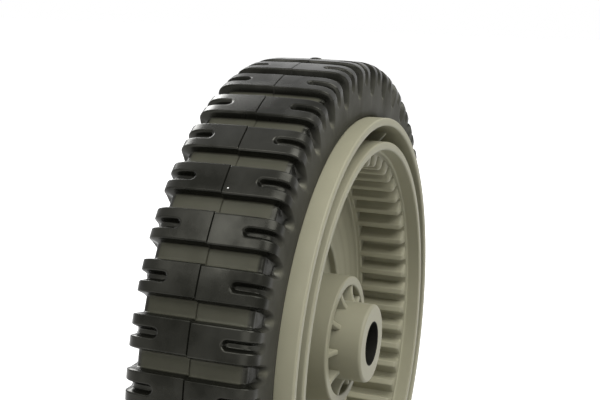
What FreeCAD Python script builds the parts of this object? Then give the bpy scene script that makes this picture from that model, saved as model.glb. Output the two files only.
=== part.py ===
"""Drive wheel of a self-propelled lawn mower: a grey moulded wheel with an internal ring gear, and the
black bar-tread tyre that is stretched over it.

The axle lies along Y through the origin. The tyre's parting plane is Y = 0, the gear side faces -Y and the
outer side of the wheel faces +Y. Angles are counted from +X towards +Z.
"""
import FreeCAD, Part
import math
import os
from FreeCAD import Vector

# Tyre, in millimetres and degrees
TYRE_DIAMETER = 203.2
TYRE_WIDTH = 40.6
TYRE_DEPTH = 19.52
SHOULDER_RADIUS = 4.5
SHOULDER_FACETS = 2
TYRE_FIT_GAP = 0.1

# Tread bars, the grooves between them and the short slot at each end of a bar
LUG_COUNT = 39
GROOVE_WIDTH = 5.7
GROOVE_DEPTH = 3.0
GROOVE_REACH = 11.4
SLOT_WIDTH = 2.5
SLOT_DEPTH = 2.0
SLOT_LENGTH = 9.9
SLOT_REACH = 7.2
FLOOR_EDGE = 2.6

# Internal ring gear and the rim round it
GEAR_TEETH = 52
PRESSURE_ANGLE_DEG = 20.0
ADDENDUM_MODULES = 0.8
DEDENDUM_MODULES = 1.0
GEAR_PHASE_DEG = -1.85
TOOTH_LENGTH = 18.1
TOOTH_SETBACK = 5.5
ROOT_STEP = 2.0
GEAR_WALL = 2.9
CHANNEL_WIDTH = 5.7
CHANNEL_DEPTH = 22.0
CHANNEL_RIBS = 8
CHANNEL_RIB_DROP = 6.2
CHANNEL_RIB_SLOPE = 4.6
CHANNEL_RIB_PHASE_DEG = 67.0
RIM_WALL = 2.8
RIM_OVERHANG = 5.7
FLANGE_HEIGHT = 3.0
FLANGE_THICKNESS = 2.4

# Web, hub tube and the ribbed ring that stiffens it
WEB_DEPTH = 25.6
WEB_THICKNESS = 3.5
RECESS_DIAMETER = 77.0
RECESS_DEPTH = 3.0
BORE_DIAMETER = 15.875
HUB_LENGTH = 42.0
TUBE_WALL = 6.35
TUBE_CHAMFER = 1.0
POCKET_WIDTH = 5.8
POCKET_DEPTH = 15.0
HUB_RING_WALL = 3.5
HUB_RING_DROP = 9.7
HUB_RIBS = 10
HUB_RIB_PHASE_DEG = 180.0
HUB_RIB_RISE = 2.0
OUTER_BOSS_WALL = 5.7
RIB_THICKNESS = 2.0
RIB_ROOT = 0.4

# How far a cutting shape runs past the surface it opens, and the angles that place things
CLEAR = 4.0
FULL_TURN = 360.0
QUARTER_TURN = FULL_TURN / 4
DOWN = -QUARTER_TURN
CUBIC_MM_PER_CM3 = 1000.0

# Sizes that follow from the ones above
TREAD_R = TYRE_DIAMETER / 2
SIDE_Y = TYRE_WIDTH / 2
SEAT_R = TREAD_R - TYRE_DEPTH
RIM_R = SEAT_R - TYRE_FIT_GAP
RIM_IN_R = RIM_R - RIM_WALL
GEAR_OUT_R = RIM_IN_R - CHANNEL_WIDTH
GEAR_IN_R = GEAR_OUT_R - GEAR_WALL
ROOT_R = GEAR_IN_R - ROOT_STEP
GEAR_MODULE = ROOT_R / (GEAR_TEETH / 2 + DEDENDUM_MODULES)
PITCH_R = GEAR_MODULE * GEAR_TEETH / 2
TIP_R = PITCH_R - ADDENDUM_MODULES * GEAR_MODULE
BORE_R = BORE_DIAMETER / 2
TUBE_R = BORE_R + TUBE_WALL
RING_IN_R = TUBE_R + POCKET_WIDTH
RING_R = RING_IN_R + HUB_RING_WALL
RECESS_R = RECESS_DIAMETER / 2
BOSS_R = TUBE_R + OUTER_BOSS_WALL
LIP_Y = -(SIDE_Y + RIM_OVERHANG)
WEB_Y = LIP_Y + WEB_DEPTH
WEB_BACK_Y = WEB_Y + WEB_THICKNESS
TEETH_FRONT_Y = LIP_Y + TOOTH_SETBACK
TEETH_BACK_Y = TEETH_FRONT_Y + TOOTH_LENGTH
RING_Y = LIP_Y + HUB_RING_DROP
HUB_BACK_Y = LIP_Y + HUB_LENGTH
FLANGE_Y = SIDE_Y + FLANGE_THICKNESS

AXLE = Vector(0, 1, 0)
TURN = Vector(0, -1, 0)


def at(r, y):
    """Point of a half-section: r from the axle, y along it."""
    return Vector(r, y, 0)


def turned(shape, angle):
    """Copy of a shape, turned about the axle from +X towards +Z."""
    copy = shape.copy()
    copy.rotate(Vector(), TURN, angle)
    return copy


def section(points):
    """Flat face of a half-section with straight sides."""
    corners = [at(r, y) for r, y in points]
    return Part.Face(Part.makePolygon(corners + corners[:1]))


def sector(face, angle, centre):
    """Half-section swept about the axle through an angle, centred on another."""
    return turned(face.revolve(Vector(), TURN, angle), centre - angle / 2)


def rib(points, thickness, angle):
    """Radial plate of a given half-section outline and thickness."""
    plate = section(points).extrude(Vector(0, 0, thickness))
    plate.translate(Vector(0, 0, -thickness / 2))
    return turned(plate, angle)


def around(make, count, phase):
    """Equal pieces set evenly round the axle."""
    return [make(phase + FULL_TURN * k / count) for k in range(count)]


# Tyre

def tyre_section():
    """Level tread, round shoulders, flat sidewalls and the plain seat that grips the rim."""
    shoulder_r = TREAD_R - SHOULDER_RADIUS
    shoulder_y = SIDE_Y - SHOULDER_RADIUS
    half = [(SEAT_R, SIDE_Y)]
    for step in range(SHOULDER_FACETS + 1):
        lean = math.radians(QUARTER_TURN * step / SHOULDER_FACETS)
        rise = SHOULDER_RADIUS * math.sin(lean)
        half.append((shoulder_r + rise, shoulder_y + SHOULDER_RADIUS * math.cos(lean)))
    return section(half + [(r, -y) for r, y in reversed(half)])


def groove(angle):
    """Groove between two bars, right across the tread: a level floor that falls off at both shoulders."""
    floor_r = TREAD_R - GROOVE_DEPTH
    edge_y = SIDE_Y - FLOOR_EDGE
    foot_r = TREAD_R - GROOVE_REACH
    drop = (floor_r - foot_r) / FLOOR_EDGE
    half = [(floor_r, edge_y), (foot_r - drop * CLEAR, SIDE_Y + CLEAR), (TREAD_R + CLEAR, SIDE_Y + CLEAR)]
    outline = section(half + [(r, -y) for r, y in reversed(half)])
    return sector(outline, math.degrees(GROOVE_WIDTH / TREAD_R), angle)


def slot(angle, side):
    """Slot in the end of a bar, with a floor that slopes down to the sidewall."""
    inner_y = SIDE_Y - SLOT_LENGTH
    inner_r = TREAD_R - SLOT_DEPTH
    drop = (SLOT_REACH - SLOT_DEPTH) / SLOT_LENGTH
    out_y = SIDE_Y + CLEAR
    out_r = TREAD_R + CLEAR
    foot_r = TREAD_R - SLOT_REACH - drop * CLEAR
    outline = [(inner_r, inner_y), (foot_r, out_y), (out_r, out_y), (out_r, inner_y)]
    return sector(section([(r, side * y) for r, y in outline]), math.degrees(SLOT_WIDTH / TREAD_R), angle)


def tyre():
    """Tyre with its bars. A groove points straight down, so that the wheel stands on two bars."""
    first_bar = DOWN + FULL_TURN / LUG_COUNT / 2
    cuts = around(groove, LUG_COUNT, DOWN)
    for side in (-1, 1):
        cuts += around(lambda angle: slot(angle, side), LUG_COUNT, first_bar)
    return tyre_section().revolve(Vector(), AXLE, FULL_TURN).cut(cuts)


# Geared wheel

def wheel_section():
    """Half-section of the moulded wheel: the gear side from the bore out to the lip, then the outer side."""
    channel_y = LIP_Y + CHANNEL_DEPTH
    pocket_y = RING_Y + POCKET_DEPTH
    recess_y = WEB_Y + RECESS_DEPTH
    recess_back_y = WEB_BACK_Y + RECESS_DEPTH
    step_r = RECESS_R + WEB_THICKNESS
    gear_side = [
        (BORE_R, LIP_Y), (TUBE_R - TUBE_CHAMFER, LIP_Y), (TUBE_R, LIP_Y + TUBE_CHAMFER), (TUBE_R, pocket_y),
        (RING_IN_R, pocket_y), (RING_IN_R, RING_Y), (RING_R, RING_Y),
        (RING_R, recess_y), (RECESS_R, recess_y), (RECESS_R, WEB_Y),
        (TIP_R, WEB_Y), (TIP_R, TEETH_FRONT_Y), (GEAR_IN_R, TEETH_FRONT_Y),
        (GEAR_IN_R, LIP_Y), (GEAR_OUT_R, LIP_Y),
        (GEAR_OUT_R, channel_y), (RIM_IN_R, channel_y), (RIM_IN_R, LIP_Y),
        (RIM_R, LIP_Y)]
    outer_side = [
        (RIM_R, SIDE_Y), (RIM_R + FLANGE_HEIGHT, SIDE_Y), (RIM_R + FLANGE_HEIGHT, FLANGE_Y),
        (RIM_IN_R, FLANGE_Y), (RIM_IN_R, WEB_BACK_Y),
        (step_r, WEB_BACK_Y), (step_r, recess_back_y), (BOSS_R, recess_back_y), (BOSS_R, HUB_BACK_Y),
        (BORE_R, HUB_BACK_Y)]
    return section(gear_side + outer_side)


def tooth_gap(angle):
    """Space between two stub gear teeth, with straight flanks at the pressure angle."""
    thickness = math.pi * GEAR_MODULE / 2
    slope = math.tan(math.radians(PRESSURE_ANGLE_DEG))
    inner_r = TIP_R - CLEAR
    wide = thickness / 2 + slope * (PITCH_R - inner_r)
    narrow = thickness / 2 - slope * (ROOT_R - PITCH_R)
    front_y = TEETH_FRONT_Y - CLEAR
    corners = [Vector(inner_r, front_y, -wide), Vector(ROOT_R, front_y, -narrow),
               Vector(ROOT_R, front_y, narrow), Vector(inner_r, front_y, wide)]
    face = Part.Face(Part.makePolygon(corners + corners[:1]))
    return turned(face.extrude(Vector(0, TEETH_BACK_Y - front_y, 0)), angle)


def hub_rib(angle):
    """Gusset in the pocket between the hub tube and its ring, rising towards the tube."""
    low_y = RING_Y + POCKET_DEPTH + RIB_ROOT
    low_r = TUBE_R - RIB_ROOT
    high_r = RING_IN_R + RIB_ROOT
    top = [(high_r, RING_Y), (RING_IN_R, RING_Y), (low_r, RING_Y - HUB_RIB_RISE)]
    return rib([(low_r, low_y), (high_r, low_y)] + top, RIB_THICKNESS, angle)


def channel_rib(angle):
    """Plate across the channel that ties the gear ring to the rim, with a top that slopes down to the ring."""
    low_y = LIP_Y + CHANNEL_DEPTH + RIB_ROOT
    top_y = LIP_Y + CHANNEL_RIB_DROP
    low_r = GEAR_OUT_R - RIB_ROOT
    high_r = RIM_IN_R + RIB_ROOT
    outline = [(low_r, low_y), (high_r, low_y), (high_r, top_y), (low_r, top_y + CHANNEL_RIB_SLOPE)]
    return rib(outline, RIB_THICKNESS, angle)


def geared_wheel():
    """Hub, web, ring gear and rim, moulded in one piece."""
    body = wheel_section().revolve(Vector(), AXLE, FULL_TURN)
    body = body.cut(around(tooth_gap, GEAR_TEETH, GEAR_PHASE_DEG))
    ribs = around(hub_rib, HUB_RIBS, HUB_RIB_PHASE_DEG)
    ribs += around(channel_rib, CHANNEL_RIBS, CHANNEL_RIB_PHASE_DEG)
    return body.fuse(ribs).removeSplitter()


def main():
    """Builds both pieces and writes one STEP file for each."""
    os.makedirs("parts", exist_ok=True)
    for name, make in (("tyre", tyre), ("geared_wheel", geared_wheel)):
        shape = make()
        solids = shape.Solids
        volume = round(shape.Volume / CUBIC_MM_PER_CM3, 1)
        print(name, "solids", len(solids), "valid", shape.isValid(), "volume cm3", volume)
        Part.makeCompound(solids).exportStep(f"parts/{name}.step")


main()
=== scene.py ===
"""Looks of the mower drive wheel: its black bar-tread tyre, its grey geared wheel and a plain studio.

The axle lies along Y through the origin, the gear side faces -Y and angles are counted from +X towards +Z.
"""
import math

import bmesh
import bpy
import numpy as np
from mathutils import Matrix, Vector


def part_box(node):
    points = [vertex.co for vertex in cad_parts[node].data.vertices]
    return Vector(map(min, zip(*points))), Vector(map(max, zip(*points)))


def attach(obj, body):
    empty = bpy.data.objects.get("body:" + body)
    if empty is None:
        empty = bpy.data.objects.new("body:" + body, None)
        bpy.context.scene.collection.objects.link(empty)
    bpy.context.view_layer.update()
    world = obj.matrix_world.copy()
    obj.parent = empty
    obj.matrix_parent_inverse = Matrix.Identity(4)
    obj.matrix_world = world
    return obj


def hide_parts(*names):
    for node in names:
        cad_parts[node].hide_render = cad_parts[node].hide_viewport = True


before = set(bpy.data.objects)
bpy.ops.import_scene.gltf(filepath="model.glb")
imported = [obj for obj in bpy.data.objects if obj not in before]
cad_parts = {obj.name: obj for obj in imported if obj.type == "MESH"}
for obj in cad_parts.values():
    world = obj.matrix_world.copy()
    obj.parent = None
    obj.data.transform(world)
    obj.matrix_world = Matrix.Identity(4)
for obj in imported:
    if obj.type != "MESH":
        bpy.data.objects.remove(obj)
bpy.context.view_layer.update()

MM = 0.001
TYRE_LOW, TYRE_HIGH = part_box("tyre")
WHEEL_LOW, WHEEL_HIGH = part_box("geared_wheel")

bl_info = {
    "name": "Mower Drive Wheel",
    "version": (1, 0, 0),
    "blender": (4, 5, 0),
    "location": "View3D > Sidebar > Wheel",
    "description": "Builds the tyre, the geared wheel and the studio round a packed wheel",
    "category": "Object",
}


# Settings that a user would change

FEWEST_COPIES = 3


def length(name, description, millimetres):
    """Length property, given in millimetres and kept in metres."""
    return bpy.props.FloatProperty(
        name=name, description=description, default=millimetres * MM, unit="LENGTH", precision=5)


def angle(name, description, degrees):
    """Angle property, given in degrees and kept in radians."""
    return bpy.props.FloatProperty(
        name=name, description=description, default=math.radians(degrees), subtype="ANGLE")


def power(name, watts):
    """Power property of a lamp, in watts."""
    return bpy.props.FloatProperty(name=name, description="Power in watts", default=watts, unit="POWER")


def count(name, description, default):
    """Number of like pieces."""
    return bpy.props.IntProperty(name=name, description=description, default=default, min=FEWEST_COPIES)


def colour(name, description, default):
    """Linear colour property."""
    return bpy.props.FloatVectorProperty(
        name=name, description=description, default=default, size=3, subtype="COLOR", min=0.0, max=1.0)


def place(name, description, millimetres):
    """Point property, given in millimetres and kept in metres."""
    return bpy.props.FloatVectorProperty(
        name=name, description=description, default=[v * MM for v in millimetres], size=3, subtype="XYZ",
        unit="LENGTH")


class WheelTyreSettings(bpy.types.PropertyGroup):
    """Sizes of the tyre and its tread"""
    radius: length("Tread radius", "From the axle to the top of the bars", TYRE_HIGH[2] / MM)
    half_width: length("Half width", "From the parting plane to the sidewall", TYRE_HIGH[1] / MM)
    seat_radius: length("Seat radius", "Inside of the tyre, where it grips the rim", 82.08)
    bars: count("Bars", "Tread bars round the tyre", 39)
    groove_width: length("Groove width", "Gap between two bars", 5.7)
    groove_depth: length("Groove depth", "Height of the bars", 3.0)
    groove_end: length("Groove end radius", "Where a groove runs out on the sidewall", 90.2)
    slot_width: length("Slot width", "Width of the slot at each end of a bar, half way down", 2.4)
    slot_depth: length("Slot depth", "Depth of the slot at each end of a bar", 2.2)
    slot_length: length("Slot length", "From the sidewall to the slot's round end", 9.9)
    slot_end: length("Slot end radius", "Where a slot runs out on the sidewall", 94.0)
    shoulder: length("Shoulder height", "Height of the rounding between tread and sidewall", 4.5)
    shoulder_run: length("Shoulder run", "Width of the rounding between tread and sidewall", 8.5)
    crown_drop: length("Crown drop", "How much lower the arch of the tread is at the sidewall", 0.5)
    seam_depth: length("Seam depth", "Depth of the parting line", 0.45)
    mismatch: angle("Mould mismatch", "Turn of one mould half against the other", 0.22)
    nub_turn: angle("Nub angle", "Where the flash nub stands on the parting line", 88.0)
    nub_size: place("Nub size", "Height, and halves along the axle and round the tread", (0.5, 2.2, 0.9))


class WheelBodySettings(bpy.types.PropertyGroup):
    """Sizes of the grey moulding: radii from the axle and depths from the lip"""
    bore: length("Bore radius", "Plain bore for the axle", 7.94)
    tube: length("Tube radius", "Outside of the hub tube", 14.29)
    ring_inside: length("Hub ring inside", "Inside of the ring round the hub tube", 20.09)
    ring: length("Hub ring radius", "Outside of the ring round the hub tube", 23.59)
    recess: length("Recess radius", "Dished middle of the web", 38.5)
    tip: length("Tooth tip radius", "Inside of the ring gear", 64.01)
    root: length("Tooth root radius", "Bottom of the gaps between the teeth", 68.58)
    counterbore: length("Counterbore radius", "Plain mouth in front of the teeth", 70.58)
    gear_outside: length("Gear ring radius", "Outside of the ring gear's wall", 73.48)
    rim_inside: length("Rim inside", "Inside of the rim", 79.18)
    rim: length("Rim radius", "Outside of the rim", 81.98)
    boss: length("Boss radius", "Hub boss on the outer side", 19.99)
    ring_drop: length("Hub ring drop", "From the lip to the end of the hub ring", 9.7)
    pocket_drop: length("Pocket drop", "From the lip to the floor of the hub's pocket", 24.7)
    web_drop: length("Web drop", "From the lip to the web", 25.6)
    web_thickness: length("Web thickness", "Thickness of the web", 3.5)
    recess_depth: length("Recess depth", "How far the middle of the web is dished", 3.0)
    channel_drop: length("Channel drop", "Depth of the channel between gear ring and rim", 22.0)
    hub_length: length("Hub length", "Length of the hub", 42.0)
    teeth: count("Teeth", "Teeth of the ring gear", 52)
    module: length("Module", "Pitch diameter for each tooth", 2.54)
    pressure_angle: angle("Pressure angle", "Slope of the tooth flanks", 20.0)
    tooth_turn: angle("Tooth angle", "Where the first gap between teeth stands", -1.85)
    tooth_drop: length("Tooth drop", "From the lip to the front of the teeth", 5.5)
    tooth_length: length("Tooth length", "Length of the teeth", 18.1)
    gussets: count("Hub gussets", "Ribs between the hub tube and its ring", 10)
    gusset_turn: angle("Gusset angle", "Where the first hub gusset stands", 180.0)
    gusset_rise: length("Gusset rise", "How far a gusset climbs the hub tube", 2.0)
    ties: count("Channel ties", "Ribs between the gear ring and the rim", 8)
    tie_turn: angle("Tie angle", "Where the first channel tie stands", 67.0)
    tie_drop: length("Tie drop", "From the lip to the top of a tie at the rim", 6.2)
    tie_slope: length("Tie slope", "How much lower a tie is at the gear ring", 4.6)
    rib_thickness: length("Rib thickness", "Thickness of gussets and ties", 2.0)


class WheelFinishSettings(bpy.types.PropertyGroup):
    """Colours of the finishes"""
    rubber: colour("Bar rubber", "Polished tops of the bars", (0.0050, 0.0050, 0.0038))
    rubber_floor: colour("Groove rubber", "Floor of the grooves", (0.067, 0.066, 0.049))
    rubber_side: colour("Side rubber", "Dull sidewalls", (0.048, 0.047, 0.038))
    # Painted highlight: a lighter rubber colour for the small bright spots where each groove ends on the
    # sidewall
    rubber_painted_highlight: colour("Painted highlight", "Light spots where the grooves end", (0.115, 0.112, 0.085))
    dust: colour("Dust", "Speck of dust on the tread", (0.75, 0.75, 0.72))
    dust_place: place("Dust place", "Where the speck of dust lies on a bar", (-75.45, -1.72, 67.89))
    dust_size: length("Dust size", "Radius of the speck of dust", 0.26)
    plastic: colour("Wheel plastic", "Grey moulding", (0.285, 0.274, 0.193))
    bore: colour("Bore", "Dark running surface of the bore", (0.010, 0.010, 0.008))


class WheelStageSettings(bpy.types.PropertyGroup):
    """Camera and studio"""
    camera_place: place("Camera place", "Where the camera stands", (-349.2, -123.9, 124.0))
    camera_yaw: angle("Yaw", "Heading of the view, from +Y towards +X", 69.988)
    camera_pitch: angle("Pitch", "How far the camera looks up", -11.182)
    camera_roll: angle("Roll", "Tilt of the camera about its view", 1.516)
    focal: bpy.props.FloatProperty(
        name="Focal length", description="Focal length for a picture one unit wide", default=1.7358)
    key_place: place("Key place", "Where the main lamp hangs", (-270.0, -560.0, 1030.0))
    key_power: power("Key power", 17.5)
    tread_place: place("Tread lamp place", "Where the lamp for the tread hangs", (-820.0, 270.0, 930.0))
    tread_power: power("Tread lamp power", 4.2)
    side_place: place("Side lamp place", "Where the low lamp stands", (-1050.0, -300.0, 170.0))
    side_power: power("Side lamp power", 1.4)
    back_place: place("Back lamp place", "Where the lamp behind the wheel hangs", (600.0, 900.0, 800.0))
    back_power: power("Back lamp power", 12.0)
    sky: bpy.props.FloatProperty(
        name="Sky light", description="Strength of the even light all round", default=0.05)


# Small tools

SHARP_EDGE = math.radians(50.0)


def settings():
    """The scene's settings as a short handle."""
    return bpy.context.scene.mower_wheel


def add_object(name, mesh, material):
    """New object in the scene with one material."""
    piece = bpy.data.objects.new(name, mesh)
    bpy.context.scene.collection.objects.link(piece)
    piece.data.materials.clear()
    piece.data.materials.append(material)
    return piece


def hand_over(piece, node):
    """Lets a piece stand for a CAD node: joins it to the root body and hides the node."""
    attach(piece, "root")
    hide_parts(node)


def grid_mesh(name, points, closed_rows=False, closed_columns=False, capped=False):
    """Quad mesh from points with shape (rows, columns, 3); capped closes its first and last rows."""
    rows, columns = points.shape[:2]
    faces = []
    for i in range(rows if closed_rows else rows - 1):
        k = (i + 1) % rows
        for j in range(columns if closed_columns else columns - 1):
            m = (j + 1) % columns
            faces.append((i * columns + j, k * columns + j, k * columns + m, i * columns + m))
    if capped:
        faces.append(tuple(range(columns)))
        faces.append(tuple((rows - 1) * columns + j for j in range(columns)))
    mesh = bpy.data.meshes.new(name)
    mesh.from_pydata(points.reshape(-1, 3).tolist(), [], faces)
    return mesh


def finish_mesh(mesh, sharp=SHARP_EDGE):
    """Turns the faces outwards and smooths the edges that bend less than a sharp angle."""
    work = bmesh.new()
    work.from_mesh(mesh)
    bmesh.ops.recalc_face_normals(work, faces=work.faces)
    for face in work.faces:
        face.smooth = True
    work.to_mesh(mesh)
    work.free()
    mesh.set_sharp_from_angle(angle=sharp)


def set_mark(mesh, name, values):
    """Writes a value for each point of a mesh under a name that the materials read."""
    attribute = mesh.attributes.new(name, "FLOAT", "POINT")
    attribute.data.foreach_set("value", np.array(values, dtype=np.float32).ravel())


def smoothstep(t):
    """Soft step from 0 to 1."""
    t = np.clip(t, 0.0, 1.0)
    return t * t * (3.0 - 2.0 * t)


def wrapped(r, along, y):
    """Points at radius r, a run along the circle from +X towards +Z, and y."""
    turn = np.asarray(along) / r
    return np.stack([r * np.cos(turn), np.broadcast_to(y, turn.shape), r * np.sin(turn)], axis=-1)


# Steps in a corner's arc, the place of the points that hold it, and the most of a side that it takes
ARC_STEPS = 3
HOLD = 1.2
LONGEST_RUN = 0.4


def rounded_outline(corners):
    """Closed outline with an arc at each corner (a, b, radius), held by a point beyond each end."""
    sharp = np.array([corner[:2] for corner in corners])
    points = []
    for i, (_, _, radius) in enumerate(corners):
        here = sharp[i]
        if not radius:
            points.append(here)
            continue
        back = sharp[i - 1] - here
        ahead = sharp[(i + 1) % len(sharp)] - here
        shortest = min(np.linalg.norm(back), np.linalg.norm(ahead))
        back = back / np.linalg.norm(back)
        ahead = ahead / np.linalg.norm(ahead)
        half = math.acos(np.clip(back @ ahead, -1.0, 1.0)) / 2
        run = min(radius / math.tan(half), LONGEST_RUN * shortest)
        start, end = here + back * run, here + ahead * run
        points.append(here + back * run * HOLD)
        for t in np.linspace(0.0, 1.0, ARC_STEPS + 1):
            weights = np.array([(1 - t) ** 2, 2 * math.sin(half) * t * (1 - t), t ** 2])
            points.append(weights @ np.array([start, here, end]) / weights.sum())
        points.append(here + ahead * run * HOLD)
    return np.array(points)


# Geometry nodes that set a piece round the axle

AXLE_TREE = "Set round the axle"
MERGE_GAP = 0.01 * MM


def round_the_axle_tree():
    """Node tree that repeats a mesh evenly about Y and merges what meets."""
    tree = bpy.data.node_groups.new(AXLE_TREE, "GeometryNodeTree")
    face = tree.interface
    face.new_socket("Geometry", in_out="INPUT", socket_type="NodeSocketGeometry")
    face.new_socket("Count", in_out="INPUT", socket_type="NodeSocketInt")
    face.new_socket("Phase", in_out="INPUT", socket_type="NodeSocketFloat")
    face.new_socket("Material", in_out="INPUT", socket_type="NodeSocketMaterial")
    face.new_socket("Geometry", in_out="OUTPUT", socket_type="NodeSocketGeometry")
    nodes, link = tree.nodes, tree.links.new
    start = nodes.new("NodeGroupInput")
    end = nodes.new("NodeGroupOutput")
    spots = nodes.new("GeometryNodePoints")
    index = nodes.new("GeometryNodeInputIndex")
    step = nodes.new("ShaderNodeMath")
    step.operation = "DIVIDE"
    step.inputs[0].default_value = -2.0 * math.pi
    swing = nodes.new("ShaderNodeMath")
    swing.operation = "MULTIPLY"
    turn = nodes.new("ShaderNodeMath")
    turn.operation = "SUBTRACT"
    euler = nodes.new("ShaderNodeCombineXYZ")
    copies = nodes.new("GeometryNodeInstanceOnPoints")
    merge = nodes.new("GeometryNodeMergeByDistance")
    merge.inputs["Distance"].default_value = MERGE_GAP
    realize = nodes.new("GeometryNodeRealizeInstances")
    paint = nodes.new("GeometryNodeSetMaterial")
    link(start.outputs["Count"], spots.inputs["Count"])
    link(start.outputs["Count"], step.inputs[1])
    link(index.outputs["Index"], swing.inputs[0])
    link(step.outputs["Value"], swing.inputs[1])
    link(swing.outputs["Value"], turn.inputs[0])
    link(start.outputs["Phase"], turn.inputs[1])
    link(turn.outputs["Value"], euler.inputs["Y"])
    link(spots.outputs[0], copies.inputs["Points"])
    link(start.outputs["Geometry"], copies.inputs["Instance"])
    link(euler.outputs["Vector"], copies.inputs["Rotation"])
    link(copies.outputs["Instances"], realize.inputs["Geometry"])
    link(realize.outputs["Geometry"], merge.inputs["Geometry"])
    link(merge.outputs["Geometry"], paint.inputs["Geometry"])
    link(start.outputs["Material"], paint.inputs["Material"])
    link(paint.outputs["Geometry"], end.inputs["Geometry"])
    return tree


def set_round_the_axle(name, mesh, number, phase, material):
    """Plain mesh object of a piece repeated round the axle, starting at an angle from +X towards +Z."""
    tree = bpy.data.node_groups.get(AXLE_TREE) or round_the_axle_tree()
    source = bpy.data.objects.new(name + ".source", mesh)
    bpy.context.scene.collection.objects.link(source)
    modifier = source.modifiers.new("Round the axle", "NODES")
    modifier.node_group = tree
    values = {"Count": number, "Phase": phase, "Material": material}
    for item in tree.interface.items_tree:
        if item.in_out == "INPUT" and item.name in values:
            modifier[item.identifier] = values[item.name]
    seen = source.evaluated_get(bpy.context.evaluated_depsgraph_get())
    plain = bpy.data.meshes.new_from_object(seen)
    source.modifiers.remove(modifier)
    bpy.data.objects.remove(source)
    finish_mesh(plain)
    plain.name = name
    return add_object(name, plain, material)


# Materials

# Marks that the tyre's mesh carries for its material; the last one places a painted highlight at the end of
# each groove on the sidewall
MARKS = ("floor", "sidewall", "painted_highlight")

# Detail of the two noises in the grain, and how the grain is raised
NOISE_DETAIL = {"Cloud": 4.0, "Grain": 2.0}
GRAIN_SHARE = 0.4
BUMP_STRENGTH = 0.30
BUMP_HEIGHT = 0.05 * MM

# Rubber: noise scales for each metre, shades of the bars, roughness, gloss and tint
RUBBER_CLOUDS, RUBBER_GRAIN, RUBBER_LINES = 70.0, 3000.0, 2200.0
RUBBER_DARK, RUBBER_LIGHT = 0.7, 1.6
RUBBER_ROUGHNESS = (0.16, 0.36)
GROOVE_ROUGHER, SIDE_ROUGHER = 0.14, 0.3
RUBBER_GLOSS = (0.34, 0.10)
GLOSS_CLOUDS = (0.36, 0.64)
GROOVE_GLOSS, SIDE_GLOSS = 0.45, 0.25
RUBBER_TINT = (1.0, 0.99, 0.85, 1.0)

# Plastic: noise scales for each metre, shades, roughness, gloss and the turned bands
PLASTIC_CLOUDS, PLASTIC_GRAIN = 40.0, 1800.0
BAND_LINES, RING_LINES = 280.0, 900.0
PLASTIC_DARK, PLASTIC_LIGHT, BAND_SHADE = 0.90, 1.08, 0.70
PLASTIC_ROUGHNESS = (0.42, 0.58)
PLASTIC_GLOSS, BORE_GLOSS = 0.26, 0.10
BAND_FACTOR = (0.0, 0.36)
BAND_MARKS = (0.4, 0.7)


def new_material(name):
    """Node material with its shader, and short handles for its nodes and links."""
    material = bpy.data.materials.new(name)
    material.use_nodes = True
    nodes = material.node_tree.nodes
    return material, nodes, material.node_tree.links.new, nodes["Principled BSDF"]


def shared_group(name, inputs, outputs):
    """Empty shader node group with named values going in and out."""
    group = bpy.data.node_groups.new(name, "ShaderNodeTree")
    for label in inputs:
        group.interface.new_socket(label, in_out="INPUT", socket_type="NodeSocketFloat")
    for label in outputs:
        group.interface.new_socket(label, in_out="OUTPUT", socket_type="NodeSocketFloat")
    return group, group.nodes.new("NodeGroupInput"), group.nodes.new("NodeGroupOutput")


def moulding_grain():
    """Shared effect: slow unevenness and fine grain of a moulded surface."""
    name = "Moulding grain"
    if name in bpy.data.node_groups:
        return bpy.data.node_groups[name]
    group, start, end = shared_group(name, ("Cloud scale", "Grain scale"), ("Cloud", "Grain"))
    nodes, link = group.nodes, group.links.new
    where = nodes.new("ShaderNodeTexCoord")
    for label, detail in NOISE_DETAIL.items():
        noise = nodes.new("ShaderNodeTexNoise")
        noise.inputs["Detail"].default_value = detail
        link(where.outputs["Object"], noise.inputs["Vector"])
        link(start.outputs[label + " scale"], noise.inputs["Scale"])
        link(noise.outputs["Fac"], end.inputs[label])
    return group


def tool_marks():
    """Shared effect: fine lines left by the cutter that made the mould, side by side along a run."""
    name = "Tool marks"
    if name in bpy.data.node_groups:
        return bpy.data.node_groups[name]
    group, start, end = shared_group(name, ("Run", "Lines"), ("Mark",))
    noise = group.nodes.new("ShaderNodeTexNoise")
    noise.noise_dimensions = "1D"
    group.links.new(start.outputs["Run"], noise.inputs["W"])
    group.links.new(start.outputs["Lines"], noise.inputs["Scale"])
    group.links.new(noise.outputs["Fac"], end.inputs["Mark"])
    return group


def use_group(nodes, group, **values):
    """Places a shared effect in a material with its own values."""
    node = nodes.new("ShaderNodeGroup")
    node.node_tree = group
    for name, value in values.items():
        node.inputs[name.replace("_", " ").capitalize()].default_value = value
    return node


def spread(nodes, link, value, low, high, start=0.0, end=1.0):
    """Maps a value between a start and an end onto a range."""
    node = nodes.new("ShaderNodeMapRange")
    node.inputs["From Min"].default_value = start
    node.inputs["From Max"].default_value = end
    node.inputs["To Min"].default_value = low
    node.inputs["To Max"].default_value = high
    link(value, node.inputs["Value"])
    return node.outputs["Result"]


def maths(nodes, link, operation, first, second):
    """Result of a math node for two values, each a number or a socket."""
    node = nodes.new("ShaderNodeMath")
    node.operation = operation
    for socket, value in zip(node.inputs, (first, second)):
        if isinstance(value, bpy.types.NodeSocket):
            link(value, socket)
        else:
            socket.default_value = value
    return node.outputs["Value"]


def mix_colour(nodes, link, factor, first, second):
    """Mixes two colours, each a fixed colour or a socket."""
    node = nodes.new("ShaderNodeMix")
    node.data_type = "RGBA"
    link(factor, node.inputs["Factor"])
    for slot, value in (("A", first), ("B", second)):
        socket = next(s for s in node.inputs if s.name == slot and s.type == "RGBA")
        if isinstance(value, bpy.types.NodeSocket):
            link(value, socket)
        else:
            socket.default_value = (*value, 1.0)
    return next(s for s in node.outputs if s.type == "RGBA")


def shades(base, *shares):
    """Darker or lighter shades of a colour, one for each share."""
    return [[share * v for v in base] for share in shares]


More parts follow.
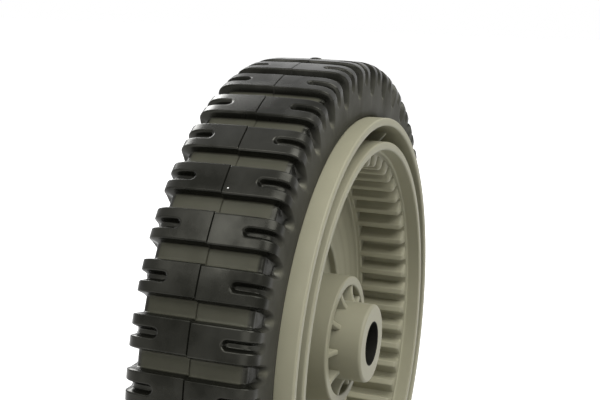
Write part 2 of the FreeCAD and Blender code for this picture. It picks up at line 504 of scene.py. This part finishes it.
def raise_surface(nodes, link, shader, grain, lines):
    """Fine bump of a shader from its grain and its tool marks."""
    fine = maths(nodes, link, "MULTIPLY", grain, GRAIN_SHARE)
    height = maths(nodes, link, "ADD", fine, lines)
    bump = nodes.new("ShaderNodeBump")
    bump.inputs["Strength"].default_value = BUMP_STRENGTH
    bump.inputs["Distance"].default_value = BUMP_HEIGHT
    link(height, bump.inputs["Height"])
    link(bump.outputs["Normal"], shader.inputs["Normal"])


def object_axes(nodes, link):
    """Object coordinates, whole and split into X, Y and Z."""
    where = nodes.new("ShaderNodeTexCoord").outputs["Object"]
    split = nodes.new("ShaderNodeSeparateXYZ")
    link(where, split.inputs["Vector"])
    return where, split.outputs


def surface_mark(nodes, name):
    """Value from 0 to 1 that the mesh carries under a name."""
    node = nodes.new("ShaderNodeAttribute")
    node.attribute_name = name
    return node.outputs["Fac"]


def tyre_rubber():
    """Satin black rubber: smooth bars, dull groove floors and sides, a painted highlight at each groove's
    end and a speck of dust.
    """
    name = "Tyre rubber"
    if name in bpy.data.materials:
        return bpy.data.materials[name]
    finish = settings().finish
    material, nodes, link, shader = new_material(name)
    grain = use_group(nodes, moulding_grain(), cloud_scale=RUBBER_CLOUDS, grain_scale=RUBBER_GRAIN)
    where, axes = object_axes(nodes, link)
    floor, sidewall, painted_highlight = (surface_mark(nodes, mark) for mark in MARKS)
    dark, light = shades(finish.rubber, RUBBER_DARK, RUBBER_LIGHT)
    bars = mix_colour(nodes, link, grain.outputs["Cloud"], dark, light)
    rubber = mix_colour(nodes, link, floor, bars, tuple(finish.rubber_floor))
    rubber = mix_colour(nodes, link, sidewall, rubber, tuple(finish.rubber_side))
    # Painted highlight: lighter rubber where each groove ends on the sidewall
    rubber = mix_colour(nodes, link, painted_highlight, rubber, tuple(finish.rubber_painted_highlight))
    gap = nodes.new("ShaderNodeVectorMath")
    gap.operation = "DISTANCE"
    gap.inputs[1].default_value = finish.dust_place
    link(where, gap.inputs[0])
    dust = maths(nodes, link, "LESS_THAN", gap.outputs["Value"], finish.dust_size)
    link(mix_colour(nodes, link, dust, rubber, tuple(finish.dust)), shader.inputs["Base Color"])
    rough = spread(nodes, link, grain.outputs["Cloud"], *RUBBER_ROUGHNESS)
    gloss = spread(nodes, link, grain.outputs["Cloud"], *RUBBER_GLOSS, *GLOSS_CLOUDS)
    dulled = ((floor, GROOVE_ROUGHER, GROOVE_GLOSS), (sidewall, SIDE_ROUGHER, SIDE_GLOSS))
    for mark, rougher, share in dulled:
        rough = maths(nodes, link, "ADD", rough, maths(nodes, link, "MULTIPLY", mark, rougher))
        gloss = maths(nodes, link, "MULTIPLY", gloss, spread(nodes, link, mark, 1.0, share))
    link(rough, shader.inputs["Roughness"])
    link(gloss, shader.inputs["Specular IOR Level"])
    shader.inputs["Specular Tint"].default_value = RUBBER_TINT
    marks = use_group(nodes, tool_marks(), lines=RUBBER_LINES)
    link(axes["Y"], marks.inputs["Run"])
    lines = maths(nodes, link, "MULTIPLY", marks.outputs["Mark"], floor)
    raise_surface(nodes, link, shader, grain.outputs["Grain"], lines)
    return material


def wheel_plastic():
    """Warm grey moulded plastic with faint flow clouds and turned rings, and a dark bore."""
    name = "Wheel plastic"
    if name in bpy.data.materials:
        return bpy.data.materials[name]
    finish = settings().finish
    material, nodes, link, shader = new_material(name)
    grain = use_group(nodes, moulding_grain(), cloud_scale=PLASTIC_CLOUDS, grain_scale=PLASTIC_GRAIN)
    axes = object_axes(nodes, link)[1]
    link(spread(nodes, link, grain.outputs["Cloud"], *PLASTIC_ROUGHNESS), shader.inputs["Roughness"])
    squares = [maths(nodes, link, "MULTIPLY", axes[axis], axes[axis]) for axis in ("X", "Z")]
    radius = maths(nodes, link, "SQRT", maths(nodes, link, "ADD", *squares), 0.0)
    dark, light, darkest = shades(finish.plastic, PLASTIC_DARK, PLASTIC_LIGHT, BAND_SHADE)
    grey = mix_colour(nodes, link, grain.outputs["Cloud"], dark, light)
    bands = use_group(nodes, tool_marks(), lines=BAND_LINES)
    link(radius, bands.inputs["Run"])
    factor = spread(nodes, link, bands.outputs["Mark"], *BAND_FACTOR, *BAND_MARKS)
    grey = mix_colour(nodes, link, factor, grey, darkest)
    in_bore = maths(nodes, link, "LESS_THAN", radius, settings().wheel.bore + FINE / 2)
    link(mix_colour(nodes, link, in_bore, grey, tuple(finish.bore)), shader.inputs["Base Color"])
    link(spread(nodes, link, in_bore, PLASTIC_GLOSS, BORE_GLOSS), shader.inputs["Specular IOR Level"])
    rings = use_group(nodes, tool_marks(), lines=RING_LINES)
    link(radius, rings.inputs["Run"])
    raise_surface(nodes, link, shader, grain.outputs["Grain"], rings.outputs["Mark"])
    return material


# Tyre

# Soft walls of grooves and slots, the parting line with its flat edges, and the bead
WALL_BAND = 1.1 * MM
SLOT_BAND = 1.2 * MM
SEAM_HALF = 0.26 * MM
SEAM_EDGE = 3 * SEAM_HALF
BEAD_INSET = 0.4 * MM
BEAD_EDGE = 0.5 * MM
BEAD_SLOPE = 6 * BEAD_EDGE

# How grooves and slots get shallower down the sidewall, and the groove narrower
GROOVE_FALL = 6.5 * MM
SLOT_FALL = 4.5 * MM
SLOT_RUN_OUT = 0.5
GROOVE_TAPER = 0.65
GROOVE_RUN_OUT = 0.75

# How softly the tread bends into the shoulder
SHOULDER_BEND = 1.5

# Where the marks for the materials start and fade, and the size of the painted highlight at each groove's
# end
FLOOR_START = 0.75
FLOOR_FADE = 1.5 * MM
HIGHLIGHT_PAINT_SIZE = 1.7 * MM

# Rows and columns of the mesh: counts, millimetres past a slot's start, and shares of a wall or a groove
SHOULDER_ROWS, SIDE_ROWS, RUN_OUT_ROWS, SEAT_ROWS = 8, 5, 7, 3
SLOT_COLUMNS = 8
SLOT_STEPS = (-1.0, -0.6, -0.3, 0.0, 0.3, 0.65, 1.1, 1.8, 2.8)
WALL_STEPS = (-1.1, -0.75, -0.35, 0.35, 0.75, 1.1)
GROOVE_STEPS = (0.5, 1.0)

# How close a column lies to an edge to keep the bar's top flat up to it
BAR_HOLD = 0.3 * MM

# Faces round and up the flash nub, and the angle up to which it is smooth
NUB_ROUND, NUB_HIGH = 20, 12
NUB_SHARP_EDGE = math.radians(60.0)


def steps_after(start, end, number):
    """Even steps from a start, which is left out, to an end."""
    return np.linspace(start, end, number + 1)[1:]


def tread_lean(tyre, y):
    """How far round the shoulder a place on the tread lies, from nought to a quarter turn."""
    past = (y - tyre.half_width + tyre.shoulder_run) / tyre.shoulder_run
    return math.asin(min(1.0, max(0.0, past)))


def tread_radius(tyre, y):
    """Radius on top of the bars: a slight arch that bends softly into the shoulder."""
    arch = tyre.crown_drop * (y / tyre.half_width) ** 2
    return tyre.radius - arch - tyre.shoulder * (1.0 - math.cos(tread_lean(tyre, y))) ** SHOULDER_BEND


def tyre_half_profile(tyre):
    """Half of the tyre's outline on top of the bars, from the seam to the seat, as points (r, y)."""
    slot_start = tyre.half_width - tyre.slot_length
    level = [SEAM_HALF, SEAM_EDGE, slot_start / 2]
    level += [slot_start + step * MM for step in SLOT_STEPS]
    leans = steps_after(tread_lean(tyre, level[-1]), math.pi / 2, SHOULDER_ROWS)
    level += [tyre.half_width - tyre.shoulder_run * (1.0 - math.sin(lean)) for lean in leans]
    rows = [(tyre.radius - tyre.seam_depth, 0.0)]
    rows += [(tread_radius(tyre, y), y) for y in level]
    corner = rows[-1][0]
    run_out = tyre.groove_end + tyre.groove_width / 2
    last = tyre.groove_end - WALL_BAND / 2
    rows += [(r, tyre.half_width) for r in steps_after(corner, run_out, SIDE_ROWS)]
    rows += [(r, tyre.half_width) for r in steps_after(run_out, last, RUN_OUT_ROWS)]
    rows.append((last - WALL_BAND / 2, tyre.half_width))
    bead_y = tyre.half_width - BEAD_INSET
    rows.append((tyre.seat_radius + BEAD_SLOPE, tyre.half_width - BEAD_INSET / 2))
    rows.append((tyre.seat_radius + BEAD_EDGE, bead_y))
    rows.append((tyre.seat_radius, bead_y - BEAD_EDGE))
    return np.array(rows)


def tread_columns(tyre):
    """Places across one bar pitch, in metres along the tread, close together at the edges."""
    pitch = 2.0 * math.pi * tyre.radius / tyre.bars
    wall = (pitch - tyre.groove_width) / 2
    slot = tyre.slot_width / 2
    half = list(np.linspace(0.0, slot + SLOT_BAND / 2, SLOT_COLUMNS))
    walls = [wall + share * WALL_BAND / 2 for share in WALL_STEPS]
    half += [half[-1] + BAR_HOLD, walls[0] - BAR_HOLD, *walls]
    half += [wall + share * (pitch / 2 - wall) for share in GROOVE_STEPS]
    return np.array([-x for x in reversed(half[1:])] + half), pitch


def tread_depth(tyre, row_r, row_y, x, pitch):
    """Depth below the bar's surface for each column of one row, with floor, sidewall and painted highlight
    marks.
    """
    slot_half = tyre.slot_width / 2
    on_side = row_y > tyre.half_width - tyre.shoulder_run
    shrink = row_r / tyre.radius
    groove_fall = smoothstep((row_r - tyre.groove_end) / GROOVE_FALL) if on_side else 1.0
    slot_fall = smoothstep((row_r - tyre.slot_end) / SLOT_FALL) if on_side else 1.0
    groove_half = tyre.groove_width / 2 * (GROOVE_TAPER + (1.0 - GROOVE_TAPER) * groove_fall)
    groove_past = max(0.0, tyre.groove_end + groove_half - row_r) if on_side else 0.0
    slot_past = tyre.half_width - tyre.slot_length + slot_half - row_y
    if on_side:
        slot_past = tyre.slot_end + slot_half - row_r
    slot_past = max(0.0, slot_past)
    groove_far = np.hypot((pitch / 2 - np.abs(x)) * shrink, groove_past)
    slot_far = np.hypot(x * shrink, slot_past)
    groove = smoothstep((groove_half + WALL_BAND / 2 - groove_far) / WALL_BAND)
    slot = smoothstep((slot_half + SLOT_BAND / 2 - slot_far) / SLOT_BAND)
    groove_depth = groove * tyre.groove_depth * (GROOVE_RUN_OUT + (1.0 - GROOVE_RUN_OUT) * groove_fall)
    slot_depth = slot * tyre.slot_depth * (SLOT_RUN_OUT + (1.0 - SLOT_RUN_OUT) * slot_fall)
    sidewall = smoothstep((tyre.slot_end + SLOT_FALL - row_r) / SLOT_FALL) if on_side else 0.0
    level = smoothstep((tyre.half_width - tyre.shoulder + FLOOR_FADE - row_y) / FLOOR_FADE)
    floor = smoothstep((groove - FLOOR_START) / (1.0 - FLOOR_START)) * level
    # Painted highlight: a small light spot round the end of each groove on the sidewall
    highlight_far = np.hypot((pitch / 2 - np.abs(x)) * shrink, row_r - tyre.groove_end)
    painted_highlight = smoothstep(1.0 - highlight_far / HIGHLIGHT_PAINT_SIZE) * on_side
    return np.maximum(groove_depth, slot_depth), (floor, sidewall * (1.0 - groove), painted_highlight)


def tyre_segment(tyre):
    """One bar pitch of the tyre, right round its section, with its marks."""
    half = tyre_half_profile(tyre)
    x, pitch = tread_columns(tyre)
    ahead = np.vstack([half[1:], half[-1:]])
    behind = np.vstack([half[:1] * (1, -1), half[:-1]])
    along = ahead - behind
    normals = np.stack([along[:, 1], -along[:, 0]], axis=1)
    normals /= np.linalg.norm(normals, axis=1)[:, None]
    normals[half[:, 1] <= SEAM_EDGE] = (1.0, 0.0)
    rows, marks = [], []
    inward = range(len(half) - 1, -1, -1)
    outward = range(1, len(half))
    for side, order in ((-1, inward), (1, outward)):
        for i in order:
            r, y = half[i]
            none = np.zeros(len(x))
            depth, here = none, (none, none + 1.0, none)
            if i < len(half) - SEAT_ROWS:
                depth, here = tread_depth(tyre, r, y, x, pitch)
            rr = r - normals[i, 0] * depth
            yy = side * (y - normals[i, 1] * depth)
            turn = x / tyre.radius - (side * tyre.mismatch / 2 if i else 0.0)
            rows.append(np.stack([rr * np.cos(turn), yy, rr * np.sin(turn)], axis=1))
            marks.append(here)
    mesh = grid_mesh("tyre_segment", np.array(rows), closed_rows=True)
    for name, values in zip(MARKS, zip(*marks)):
        set_mark(mesh, name, values)
    return mesh


class WHEEL_OT_tyre(bpy.types.Operator):
    """Builds the bar-tread tyre"""
    bl_idname = "mower_wheel.tyre"
    bl_label = "Build tyre"

    def execute(self, context):
        tyre = settings().tyre
        first_bar = -math.pi / 2 + math.pi / tyre.bars
        segment = tyre_segment(tyre)
        piece = set_round_the_axle("tyre_moulding", segment, tyre.bars, first_bar, tyre_rubber())
        hand_over(piece, "tyre")
        return {"FINISHED"}


class WHEEL_OT_flash(bpy.types.Operator):
    """Adds the nub of flash on the parting line"""
    bl_idname = "mower_wheel.flash"
    bl_label = "Add flash nub"

    def execute(self, context):
        tyre = settings().tyre
        size = Matrix.Diagonal((*tyre.nub_size, 1.0))
        out = Matrix.Translation((tyre.radius, 0.0, 0.0))
        spot = Matrix.Rotation(-tyre.nub_turn, 4, "Y") @ out @ size
        work = bmesh.new()
        bmesh.ops.create_uvsphere(work, u_segments=NUB_ROUND, v_segments=NUB_HIGH, radius=1.0, matrix=spot)
        mesh = bpy.data.meshes.new("flash_nub")
        work.to_mesh(mesh)
        work.free()
        finish_mesh(mesh, NUB_SHARP_EDGE)
        hand_over(add_object("flash_nub", mesh, tyre_rubber()), "tyre")
        return {"FINISHED"}


# Geared wheel

# Steps round the body, four sizes of rounding, and how far a piece reaches into the one that carries it
SPIN_STEPS = 192
FINE = 0.3 * MM
SOFT = 0.6 * MM
ROUND = 1.0 * MM
FILLET = 1.5 * MM
SUNK = 0.4 * MM


def wheel_corners(wheel):
    """Corners (r, y, rounding) of the half-section: gear side from the bore out, then outer side."""
    lip, flange_y = WHEEL_LOW[1], WHEEL_HIGH[1]
    side_y = TYRE_HIGH[1]
    pocket_y = lip + wheel.pocket_drop
    ring_y = lip + wheel.ring_drop
    web_y = lip + wheel.web_drop
    recess_y = web_y + wheel.recess_depth
    front_y = lip + wheel.tooth_drop
    back_y = front_y + wheel.tooth_length
    channel_y = lip + wheel.channel_drop
    web_back = web_y + wheel.web_thickness
    recess_back = recess_y + wheel.web_thickness
    step = wheel.recess + wheel.web_thickness
    hub_back = lip + wheel.hub_length
    flange = WHEEL_HIGH[0]
    return [
        (wheel.bore, lip, FINE), (wheel.tube, lip, ROUND), (wheel.tube, pocket_y, ROUND),
        (wheel.ring_inside, pocket_y, ROUND), (wheel.ring_inside, ring_y, SOFT), (wheel.ring, ring_y, SOFT),
        (wheel.ring, recess_y, FILLET), (wheel.recess, recess_y, SOFT), (wheel.recess, web_y, SOFT),
        (wheel.tip, web_y, ROUND), (wheel.tip, back_y, SOFT), (wheel.root, back_y, FINE),
        (wheel.root, front_y, FINE), (wheel.counterbore, front_y, SOFT), (wheel.counterbore, lip, SOFT),
        (wheel.gear_outside, lip, SOFT), (wheel.gear_outside, channel_y, ROUND),
        (wheel.rim_inside, channel_y, ROUND), (wheel.rim_inside, lip, SOFT), (wheel.rim, lip, SOFT),
        (wheel.rim, side_y, FINE), (flange, side_y, SOFT), (flange, flange_y, SOFT),
        (wheel.rim_inside, flange_y, SOFT), (wheel.rim_inside, web_back, FILLET), (step, web_back, SOFT),
        (step, recess_back, SOFT), (wheel.boss, recess_back, FILLET), (wheel.boss, hub_back, SOFT),
        (wheel.bore, hub_back, FINE)]


class WHEEL_OT_body(bpy.types.Operator):
    """Builds the hub, web, gear ring and rim"""
    bl_idname = "mower_wheel.body"
    bl_label = "Build wheel body"

    def execute(self, context):
        outline = rounded_outline(wheel_corners(settings().wheel))
        turns = np.linspace(0.0, 2.0 * math.pi, SPIN_STEPS, endpoint=False)
        r, y = (column[:, None] for column in outline.T)
        points = np.stack([r * np.cos(turns), np.repeat(y, SPIN_STEPS, axis=1), r * np.sin(turns)], axis=2)
        mesh = grid_mesh("wheel_body", points, closed_rows=True, closed_columns=True)
        finish_mesh(mesh)
        hand_over(add_object("wheel_body", mesh, wheel_plastic()), "geared_wheel")
        return {"FINISHED"}


# A tooth's foot, and its rounded front: pairs of millimetres behind the front and shares of the slope
FOOT_SPREAD = 0.9 * MM
FOOT_CLEAR = 0.02 * MM
FRONT_INSETS = ((0.0, 1.0), (0.25, 0.55), (0.6, 0.2), (1.2, 0.0))
FRONT_SLOPE = 0.9 * MM
FLANK_SHARE = 0.35


def tooth_mesh(wheel):
    """One gear tooth with a rounded tip, fillets at its foot and a front that slopes back to the tip."""
    pitch = wheel.module * wheel.teeth / 2
    slope = math.tan(wheel.pressure_angle)

    def half_width(r):
        """Half of the tooth's width along the circle at radius r."""
        return math.pi * r / wheel.teeth - math.pi * wheel.module / 4 - slope * (pitch - r)

    front = WHEEL_LOW[1] + wheel.tooth_drop
    foot = wheel.root - FOOT_CLEAR
    stations = [(front + back * MM, share * FRONT_SLOPE) for back, share in FRONT_INSETS]
    stations.append((front + wheel.tooth_length + SUNK, 0.0))
    loops = []
    for y, inset in stations:
        wide = half_width(wheel.root) - FLANK_SHARE * inset
        narrow = half_width(wheel.tip) - FLANK_SHARE * inset
        edge = half_width(wheel.root) + FOOT_SPREAD
        right = [(wheel.tip + inset, narrow, SOFT), (foot, wide, SOFT)]
        right += [(foot, edge, 0.0), (foot + SUNK, edge, 0.0)]
        left = [(r, -along, radius) for r, along, radius in reversed(right)]
        r, along = rounded_outline(left + right).T
        loops.append(wrapped(r, along, y))
    return grid_mesh("tooth", np.array(loops), closed_columns=True, capped=True)


class WHEEL_OT_teeth(bpy.types.Operator):
    """Builds the teeth of the ring gear"""
    bl_idname = "mower_wheel.teeth"
    bl_label = "Build gear teeth"

    def execute(self, context):
        wheel = settings().wheel
        first = wheel.tooth_turn + math.pi / wheel.teeth
        piece = set_round_the_axle("gear_teeth", tooth_mesh(wheel), wheel.teeth, first, wheel_plastic())
        hand_over(piece, "geared_wheel")
        return {"FINISHED"}


# Steps along a rib, and the rounding of its crest
RIB_STEPS = 9
CREST_ROUNDING = 0.5 * MM
CREST_BEND = 0.3


def rib_mesh(name, radii, crests, foot, thickness):
    """Radial rib with a rounded crest at a place along the axle for each radius, and a level foot."""
    half = thickness / 2
    bend = CREST_BEND * CREST_ROUNDING
    flat = half - CREST_ROUNDING
    loops = []
    for r, crest in zip(radii, crests):
        rise = [(half, foot), (half, crest + CREST_ROUNDING), (half - bend, crest + bend), (flat, crest)]
        across = [(-along, y) for along, y in rise] + rise[::-1]
        loops.append([wrapped(r, along, y) for along, y in across])
    return grid_mesh(name, np.array(loops), closed_columns=True, capped=True)


class WHEEL_OT_ribs(bpy.types.Operator):
    """Builds the hub gussets and the ties across the channel"""
    bl_idname = "mower_wheel.ribs"
    bl_label = "Build ribs"

    def execute(self, context):
        wheel = settings().wheel
        lip = WHEEL_LOW[1]
        share = np.linspace(0.0, 1.0, RIB_STEPS)
        radii = wheel.tube - SUNK + share * (wheel.ring_inside - wheel.tube + 2 * SUNK)
        crests = lip + wheel.ring_drop + SUNK - wheel.gusset_rise * (1.0 - share) ** 2
        gusset = rib_mesh("gusset", radii, crests, lip + wheel.pocket_drop + SUNK, wheel.rib_thickness)
        radii = wheel.gear_outside - SUNK + share * (wheel.rim_inside - wheel.gear_outside + 2 * SUNK)
        crests = lip + wheel.tie_drop + wheel.tie_slope * (1.0 - share)
        tie = rib_mesh("tie", radii, crests, lip + wheel.channel_drop + SUNK, wheel.rib_thickness)
        for name, mesh, number, turn in (("hub_gussets", gusset, wheel.gussets, wheel.gusset_turn),
                                         ("channel_ties", tie, wheel.ties, wheel.tie_turn)):
            piece = set_round_the_axle(name, mesh, number, turn, wheel_plastic())
            hand_over(piece, "geared_wheel")
        return {"FINISHED"}


# Studio

# Nearest that the camera sees, and the sides of the lamps in metres
CLIP_START = 10 * MM
KEY_SIZE = 1.0
LAMP_SIZE = 0.6
WHITE = (1.0, 1.0, 1.0, 1.0)

# The floor's reach and finish, and its glow, which grows with the distance from the wheel
FLOOR_REACH = 6.0
FLOOR_GREY = (0.60, 0.60, 0.60, 1.0)
FLOOR_ROUGHNESS = 0.9
GLOW_NEAR, GLOW_FAR = 0.45, 0.95
GLOW_START, GLOW_END = 0.13, 0.42


def add_camera(stage):
    """Camera at the photograph's place and angle."""
    yaw, pitch, roll = stage.camera_yaw, stage.camera_pitch, stage.camera_roll
    forward = Vector((math.sin(yaw) * math.cos(pitch), math.cos(yaw) * math.cos(pitch), math.sin(pitch)))
    level = Vector((math.cos(yaw), -math.sin(yaw), 0.0))
    above = level.cross(forward)
    right = level * math.cos(roll) + above * math.sin(roll)
    up = above * math.cos(roll) - level * math.sin(roll)
    data = bpy.data.cameras.new("Camera")
    data.lens = stage.focal * data.sensor_width
    data.clip_start = CLIP_START
    camera = bpy.data.objects.new("Camera", data)
    turn = Matrix((right, up, -forward)).transposed().to_4x4()
    camera.matrix_world = Matrix.Translation(stage.camera_place) @ turn
    bpy.context.scene.collection.objects.link(camera)
    bpy.context.scene.camera = camera


def add_lamp(name, spot, watts, size=LAMP_SIZE):
    """Soft square lamp that looks at the middle of the wheel."""
    data = bpy.data.lights.new(name, "AREA")
    data.energy = watts
    data.size = size
    lamp = bpy.data.objects.new(name, data)
    lamp.location = spot
    lamp.rotation_euler = (-Vector(spot)).to_track_quat("-Z", "Y").to_euler()
    bpy.context.scene.collection.objects.link(lamp)


def seen_directly(nodes, link):
    """One for camera, glossy and transmission rays, nought for the rest."""
    path = nodes.new("ShaderNodeLightPath")
    seen = path.outputs["Is Camera Ray"]
    for ray in ("Is Glossy Ray", "Is Transmission Ray"):
        seen = maths(nodes, link, "MAXIMUM", seen, path.outputs[ray])
    return seen


def floor_material():
    """Pale floor that reads as white and keeps the wheel's shadow."""
    material, nodes, link, shader = new_material("Floor")
    shader.inputs["Base Color"].default_value = FLOOR_GREY
    shader.inputs["Roughness"].default_value = FLOOR_ROUGHNESS
    shader.inputs["Emission Color"].default_value = WHITE
    away = nodes.new("ShaderNodeVectorMath")
    away.operation = "LENGTH"
    link(object_axes(nodes, link)[0], away.inputs[0])
    glow = spread(nodes, link, away.outputs["Value"], GLOW_NEAR, GLOW_FAR, GLOW_START, GLOW_END)
    glow = maths(nodes, link, "MULTIPLY", seen_directly(nodes, link), glow)
    link(glow, shader.inputs["Emission Strength"])
    return material


def white_world(strength):
    """Even studio light, white behind the object."""
    world = bpy.data.worlds.new("Studio")
    world.use_nodes = True
    bpy.context.scene.world = world
    nodes, link = world.node_tree.nodes, world.node_tree.links.new
    sky = nodes["Background"]
    sky.inputs["Color"].default_value = WHITE
    link(spread(nodes, link, seen_directly(nodes, link), strength, 1.0), sky.inputs["Strength"])


class WHEEL_OT_stage(bpy.types.Operator):
    """Builds the floor, lamps, sky and camera"""
    bl_idname = "mower_wheel.stage"
    bl_label = "Build studio"

    def execute(self, context):
        stage = settings().stage
        add_camera(stage)
        ends = (-FLOOR_REACH, FLOOR_REACH)
        corners = np.array([[(x, y, TYRE_LOW[2]) for y in ends] for x in ends])
        add_object("floor", grid_mesh("floor", corners), floor_material())
        add_lamp("key_lamp", stage.key_place, stage.key_power, KEY_SIZE)
        add_lamp("tread_lamp", stage.tread_place, stage.tread_power)
        add_lamp("side_lamp", stage.side_place, stage.side_power)
        add_lamp("back_lamp", stage.back_place, stage.back_power)
        white_world(stage.sky)
        context.scene.view_settings.view_transform = "Standard"
        return {"FINISHED"}


class WheelSettings(bpy.types.PropertyGroup):
    """All settings of the wheel"""
    tyre: bpy.props.PointerProperty(type=WheelTyreSettings)
    wheel: bpy.props.PointerProperty(type=WheelBodySettings)
    finish: bpy.props.PointerProperty(type=WheelFinishSettings)
    stage: bpy.props.PointerProperty(type=WheelStageSettings)


class WHEEL_PT_panel(bpy.types.Panel):
    """Sidebar panel with the builders"""
    bl_label = "Mower Drive Wheel"
    bl_idname = "WHEEL_PT_panel"
    bl_space_type = "VIEW_3D"
    bl_region_type = "UI"
    bl_category = "Wheel"

    def draw(self, context):
        for operator in OPERATORS:
            self.layout.operator(operator.bl_idname)


OPERATORS = (WHEEL_OT_tyre, WHEEL_OT_flash, WHEEL_OT_body, WHEEL_OT_teeth, WHEEL_OT_ribs, WHEEL_OT_stage)
GROUPS = (WheelTyreSettings, WheelBodySettings, WheelFinishSettings, WheelStageSettings, WheelSettings)
CLASSES = (*GROUPS, *OPERATORS, WHEEL_PT_panel)


def register():
    """Adds the classes and the scene's settings."""
    for item in CLASSES:
        bpy.utils.register_class(item)
    bpy.types.Scene.mower_wheel = bpy.props.PointerProperty(type=WheelSettings)


def unregister():
    """Takes the classes and the settings away."""
    del bpy.types.Scene.mower_wheel
    for item in reversed(CLASSES):
        bpy.utils.unregister_class(item)


def main():
    """Builds everything."""
    register()
    bpy.ops.mower_wheel.tyre()
    bpy.ops.mower_wheel.flash()
    bpy.ops.mower_wheel.body()
    bpy.ops.mower_wheel.teeth()
    bpy.ops.mower_wheel.ribs()
    bpy.ops.mower_wheel.stage()


if __name__ == "__main__":
    main()
